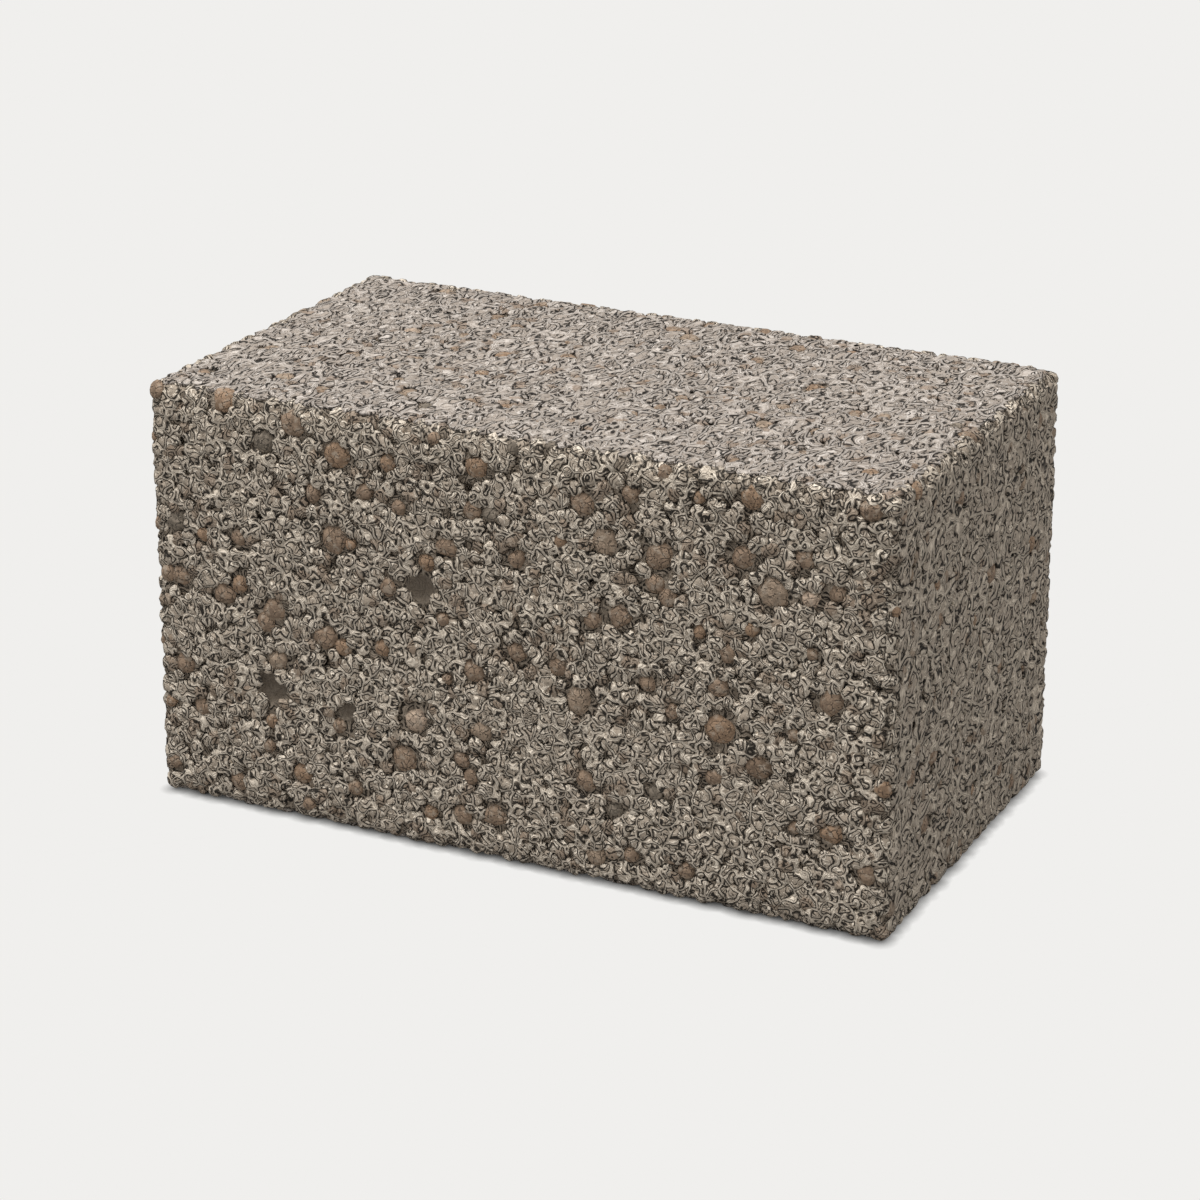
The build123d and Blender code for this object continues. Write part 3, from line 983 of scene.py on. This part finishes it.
def arris_lumps(sizes, rng):
    """The lumps along the arrises, in the same terms as those of a face."""
    lumps = []
    for place in arris_places(sizes, rng):
        turn = [rng.uniform(0, 2 * math.pi) for _ in range(3)]
        size = [sizes.arris_radius * rng.uniform(0.75, 1.05) for _ in range(3)]
        tint = rng.random()
        lumps.append((place, turn, size, tint, rng.uniform(0.05, 0.3) * MM))
    return lumps


def lump_template(segments, rings):
    """One round lump of unit radius, with few faces, that keeps each point's place on it."""
    bm = bmesh.new()
    bmesh.ops.create_uvsphere(bm, u_segments=segments, v_segments=rings, radius=1.0)
    mesh = bpy.data.meshes.new("lump_template")
    bm.to_mesh(mesh)
    bm.free()
    mesh.shade_smooth()
    places = mesh.attributes.new("lump_place", "FLOAT_VECTOR", "POINT")
    places.data.foreach_set("vector", mesh_points(mesh).ravel())
    template = bpy.data.objects.new("lump_template", mesh)
    bpy.context.scene.collection.objects.link(template)
    return template


def lump_nodes(template, roughness):
    """Geometry nodes that put a lump on every point, at its own turn and size, and roughen it."""
    tree = bpy.data.node_groups.new("lumps_on_points", "GeometryNodeTree")
    tree.interface.new_socket("Geometry", in_out="INPUT", socket_type="NodeSocketGeometry")
    tree.interface.new_socket("Geometry", in_out="OUTPUT", socket_type="NodeSocketGeometry")
    points = add(tree, "NodeGroupInput")
    lump = add(
        tree, "GeometryNodeObjectInfo", {"Object": template, "As Instance": True}, "Geometry"
    )
    turn, size = (
        add(tree, "GeometryNodeInputNamedAttribute", {"Name": name}, data_type="FLOAT_VECTOR")
        for name in ("turn", "size")
    )
    rotation = add(tree, "FunctionNodeEulerToRotation", {"Euler": turn})
    placing = {"Points": points, "Instance": lump, "Rotation": rotation, "Scale": size}
    placed = add(tree, "GeometryNodeInstanceOnPoints", placing)
    realized = add(tree, "GeometryNodeRealizeInstances", {"Geometry": placed})
    push = add(tree, NOISE, {"Scale": 1 / LUMP_WAVE, "Detail": 1.0}, "Color")
    centred = add(tree, VECTOR, (push, (0.5, 0.5, 0.5)), operation="SUBTRACT")
    offset = add(tree, VECTOR, {0: centred, "Scale": 2 * roughness}, operation="SCALE")
    moved = add(tree, "GeometryNodeSetPosition", {"Geometry": realized, "Offset": offset})
    add(tree, "NodeGroupOutput", {"Geometry": moved})
    return tree


def points_of_lumps(lumps):
    """A mesh with one point for each lump, which carries the lump's turn, size, tint and cap."""
    bm = bmesh.new()
    for lump in lumps:
        bm.verts.new(lump[0])
    points = bpy.data.meshes.new("lump_points")
    bm.to_mesh(points)
    bm.free()
    _, turns, lump_sizes, tints, caps = zip(*lumps)
    for attribute, values in (("turn", turns), ("size", lump_sizes)):
        numbers = [number for value in values for number in value]
        points.attributes.new(attribute, "FLOAT_VECTOR", "POINT").data.foreach_set("vector", numbers)
    for attribute, values in (("tint", tints), ("cap", caps)):
        points.attributes.new(attribute, "FLOAT", "POINT").data.foreach_set("value", values)
    return points


def make_lumps(name, lumps, mesh_of_one, material, sizes):
    """One piece with all these lumps, pressed flat where they meet the mould."""
    if not lumps:
        raise RuntimeError(f"{name} has no lumps, because their spacing is too wide")
    template = lump_template(*mesh_of_one)
    holder = bpy.data.objects.new("lump_holder", points_of_lumps(lumps))
    bpy.context.scene.collection.objects.link(holder)
    modifier = holder.modifiers.new("lumps", "NODES")
    modifier.node_group = lump_nodes(template, sizes.lump_roughness)
    mesh = bpy.data.meshes.new_from_object(holder.evaluated_get(bpy.context.evaluated_depsgraph_get()))
    bpy.data.objects.remove(holder)
    bpy.data.objects.remove(template)
    cap_depth = np.empty(len(mesh.vertices), np.float32)
    mesh.attributes["cap"].data.foreach_get("value", cap_depth)
    pressed = onto_mould(mesh_points(mesh), cap_depth.astype(float), sizes.arris_radius, True)
    set_mesh_points(mesh, pressed)
    for unused in ("cap", "turn", "size"):
        if unused in mesh.attributes:
            mesh.attributes.remove(mesh.attributes[unused])
    mesh.materials.clear()
    show_piece(name, mesh, [material])


class BLOCK_OT_make_lumps(bpy.types.Operator):
    """Make the pressed lumps of all six faces and along the arrises"""

    bl_idname = "block.make_lumps"
    bl_label = "Make lumps"

    def execute(self, context):
        sizes = context.scene.block_sizes
        materials = {kind: lump_material(kind, context.scene.block_colours) for kind in FINISHES}
        for name, (faces, kind) in LUMP_PIECES.items():
            rng = random.Random(f"{sizes.seed} {name}")
            spacing = getattr(sizes, f"{kind}_spacing")
            missing = getattr(sizes, f"{kind}_open")
            lumps = []
            for face in faces:
                lumps += face_lumps(face, spacing, missing, sizes, rng)
            make_lumps(name, lumps, FACE_LUMP_MESH, materials[kind], sizes)
        rng = random.Random(f"{sizes.seed} lumps_arris")
        lumps = arris_lumps(sizes, rng)
        make_lumps("lumps_arris", lumps, ARRIS_LUMP_MESH, materials["long"], sizes)
        return {"FINISHED"}


def shape_pellet(verts, rng, radius, is_broken):
    """Turns a unit ball into a pellet: flattened, uneven, and chipped flat in places if it is broken."""
    start = Vector((rng.uniform(-50, 50), rng.uniform(-50, 50), rng.uniform(-50, 50)))
    radius *= PELLET_SWELL
    stretch = Vector((rng.uniform(0.88, 1.12), rng.uniform(0.88, 1.12), PELLET_THICKNESS))
    chips = []
    for _ in range(CHIPS if is_broken else 0):
        angle = rng.uniform(0, 2 * math.pi)
        chip = Vector((math.cos(angle), math.sin(angle), rng.uniform(0.1, 0.9))).normalized()
        chips.append((chip, rng.uniform(0.72, 0.9)))
    for vert in verts:
        place = vert.co.copy()
        place *= 1 + 0.1 * noise.noise(place * 1.3 + start) + 0.04 * noise.noise(place * 4 + start)
        for chip, reach in chips:
            over = place.dot(chip) - reach
            if over > 0:
                place -= chip * over * 0.9
        vert.co = Vector((place.x * stretch.x, place.y * stretch.y, place.z * stretch.z)) * radius


def add_pellet(bm, layer, rng, face, pellet, arris):
    """Adds one pellet, seated in its face, whose points keep their place on it in millimetres."""
    u, v, radius, tone = pellet
    subdivisions = 3 if radius > LARGE_PELLET else 2
    made = bmesh.ops.create_icosphere(bm, subdivisions=subdivisions, radius=1.0)["verts"]
    shape_pellet(made, rng, radius, rng.random() < BROKEN_SHARE)
    depth = rng.uniform(0.0, 0.15) * MM
    if face not in ("front", "back"):
        depth += 0.2 * MM
    place, normal = mould_point(face, u, v, depth + PELLET_THICKNESS * radius, arris)
    spin = Quaternion((0, 0, 1), rng.uniform(0, 2 * math.pi))
    turn = (normal.to_track_quat("Z", "Y") @ spin).to_matrix()
    offset = Vector((rng.uniform(0, 900), rng.uniform(0, 900), 0))
    for vert in made:
        vert[layer] = vert.co / MM + offset
        vert.co = place + turn @ vert.co
    for linked in {linked for vert in made for linked in vert.link_faces}:
        linked.smooth = True
        linked.material_index = TONES.index(tone)


class BLOCK_OT_make_pellets(bpy.types.Operator):
    """Make the fired-clay pellets that show in all six faces"""

    bl_idname = "block.make_pellets"
    bl_label = "Make pellets"

    def execute(self, context):
        sizes = context.scene.block_sizes
        rng = random.Random(f"{sizes.seed} pellet shapes")
        bm = bmesh.new()
        layer = bm.verts.layers.float_vector.new("pellet_place")
        for face in FACES:
            for pellet in face_features(face)[0]:
                add_pellet(bm, layer, rng, face, pellet, sizes.arris_radius)
        mesh = bpy.data.meshes.new("pellets")
        bm.to_mesh(mesh)
        bm.free()
        set_mesh_points(mesh, onto_mould(mesh_points(mesh), 0.1 * MM, sizes.arris_radius, True))
        materials = [pellet_material(tone, context.scene.block_colours) for tone in TONES]
        show_piece("pellets", mesh, materials)
        return {"FINISHED"}


# The camera: bearing and height in degrees, distance, and how far it stands aside and above the
# line to the middle of the lower bed. The shift keeps the block's upright edges nearly parallel.
CAMERA_AZIMUTH = 26.29
CAMERA_ELEVATION = 18.14
CAMERA_DISTANCE = 1.4876
CAMERA_ASIDE = -0.0029
CAMERA_ABOVE = 0.1588
CAMERA_LENS_MM = 101.34
CAMERA_SHIFT = -0.15
SENSOR_MM = 36.0

# The stage: half the floor's side, the share of light that the floor sends back, how near the
# block its contact shadow lies, the surround's light, and the lamp's side, watts and place
FLOOR_HALF = 12.0
FLOOR_REFLECTANCE = 0.3
SHADOW_REACH = 5 * MM
SURROUND_LIGHT = 0.66
LAMP_SIDE = 0.9
LAMP_POWER = 38.0
LAMP_PLACE = (-0.5, -0.5, 2.4)


def floor_material(colours):
    """Matt paint, rolled on smooth, which the eye sees as one even pale tone.

    Only the block's soft contact shadow darkens it.
    """
    material, tree = new_material("pale_painted_floor")
    near = {"Distance": SHADOW_REACH, "Color": colours.floor}
    shade = add(tree, "ShaderNodeAmbientOcclusion", near)
    seen = add(tree, "ShaderNodeEmission", {"Color": shade, "Strength": 1.0})
    paint = {
        "Base Color": (FLOOR_REFLECTANCE,) * 3 + (1.0,),
        "Roughness": 0.9,
        "Specular IOR Level": 0.0,
    }
    lit = add(tree, "ShaderNodeBsdfPrincipled", paint)
    rays = [add(tree, "ShaderNodeLightPath", out=ray) for ray in ("Is Camera Ray", "Is Glossy Ray")]
    direct = add(tree, MATH, rays, operation="MAXIMUM", use_clamp=True)
    both = add(tree, "ShaderNodeMixShader", (direct, lit, seen))
    add(tree, "ShaderNodeOutputMaterial", {"Surface": both}, is_active_output=True)
    return material


def pale_surround(colours):
    """An even surround that lights the block softly and looks as pale as the floor."""
    world = bpy.data.worlds.new("pale_surround")
    world.use_nodes = True
    tree = world.node_tree
    tree.nodes.clear()
    white = {"Color": (1.0, 1.0, 1.0, 1.0), "Strength": SURROUND_LIGHT}
    light = add(tree, "ShaderNodeBackground", white)
    seen = add(tree, "ShaderNodeBackground", {"Color": colours.floor, "Strength": 1.0})
    camera_ray = add(tree, "ShaderNodeLightPath", out="Is Camera Ray")
    both = add(tree, "ShaderNodeMixShader", (camera_ray, light, seen))
    add(tree, "ShaderNodeOutputWorld", {"Surface": both})
    return world


def stage_object(name, data, place, towards):
    """Adds a lamp or a camera to the scene, turned towards a direction."""
    made = bpy.data.objects.new(name, data)
    bpy.context.scene.collection.objects.link(made)
    made.location = place
    made.rotation_mode = "QUATERNION"
    made.rotation_quaternion = towards.to_track_quat("-Z", "Y")
    return made


class BLOCK_OT_make_stage(bpy.types.Operator):
    """Make the pale floor, the soft studio light and the camera"""

    bl_idname = "block.make_stage"
    bl_label = "Make stage"

    def execute(self, context):
        scene = context.scene
        bm = bmesh.new()
        bmesh.ops.create_grid(bm, x_segments=1, y_segments=1, size=FLOOR_HALF)
        mesh = bpy.data.meshes.new("floor")
        bm.to_mesh(mesh)
        bm.free()
        mesh.materials.append(floor_material(scene.block_colours))
        floor = bpy.data.objects.new("floor", mesh)
        scene.collection.objects.link(floor)
        scene.world = pale_surround(scene.block_colours)
        self.make_lamp()
        scene.camera = self.make_camera()
        scene.view_settings.view_transform = "Standard"
        return {"FINISHED"}

    def make_lamp(self):
        """One large soft lamp overhead, a little to the front and left."""
        data = bpy.data.lights.new("overhead_softbox", "AREA")
        data.shape = "SQUARE"
        data.size = LAMP_SIDE
        data.energy = LAMP_POWER
        place = Vector(LAMP_PLACE)
        stage_object("overhead_softbox", data, place, CENTRE - place)

    def make_camera(self):
        """The camera, which looks down on the front, the top and the right end."""
        azimuth = math.radians(CAMERA_AZIMUTH)
        elevation = math.radians(CAMERA_ELEVATION)
        level = math.cos(elevation)
        back = Vector((math.sin(azimuth) * level, -math.cos(azimuth) * level, math.sin(elevation)))
        aside = Vector((math.cos(azimuth), math.sin(azimuth), 0))
        above = back.cross(aside)
        data = bpy.data.cameras.new("camera")
        data.lens = CAMERA_LENS_MM
        data.sensor_width = SENSOR_MM
        data.shift_y = CAMERA_SHIFT
        data.clip_end = 100.0
        place = back * CAMERA_DISTANCE + aside * CAMERA_ASIDE + above * CAMERA_ABOVE
        return stage_object("camera", data, place, -back)


class BLOCK_PT_panel(bpy.types.Panel):
    """Sidebar panel of the block"""

    bl_idname = "BLOCK_PT_panel"
    bl_label = "Concrete block"
    bl_space_type = "VIEW_3D"
    bl_region_type = "UI"
    bl_category = "Block"

    def draw(self, context):
        for group in (context.scene.block_sizes, context.scene.block_colours):
            column = self.layout.column()
            for name in group.__annotations__:
                column.prop(group, name)
        for operator in OPERATORS:
            self.layout.operator(operator.bl_idname)


OPERATORS = (BLOCK_OT_make_stage, BLOCK_OT_make_paste, BLOCK_OT_make_lumps, BLOCK_OT_make_pellets)
CLASSES = (BlockSizes, BlockColours, *OPERATORS, BLOCK_PT_panel)


def register():
    """Registers the classes and hangs the block's settings on the scene."""
    for cls in CLASSES:
        bpy.utils.register_class(cls)
    bpy.types.Scene.block_sizes = PointerProperty(type=BlockSizes)
    bpy.types.Scene.block_colours = PointerProperty(type=BlockColours)


def unregister():
    """Takes the settings and the classes away again."""
    del bpy.types.Scene.block_colours
    del bpy.types.Scene.block_sizes
    for cls in reversed(CLASSES):
        bpy.utils.unregister_class(cls)


def main():
    """Makes the stage and the block's pieces."""
    register()
    bpy.ops.block.make_stage()
    bpy.ops.block.make_paste()
    bpy.ops.block.make_lumps()
    bpy.ops.block.make_pellets()


if __name__ == "__main__":
    main()
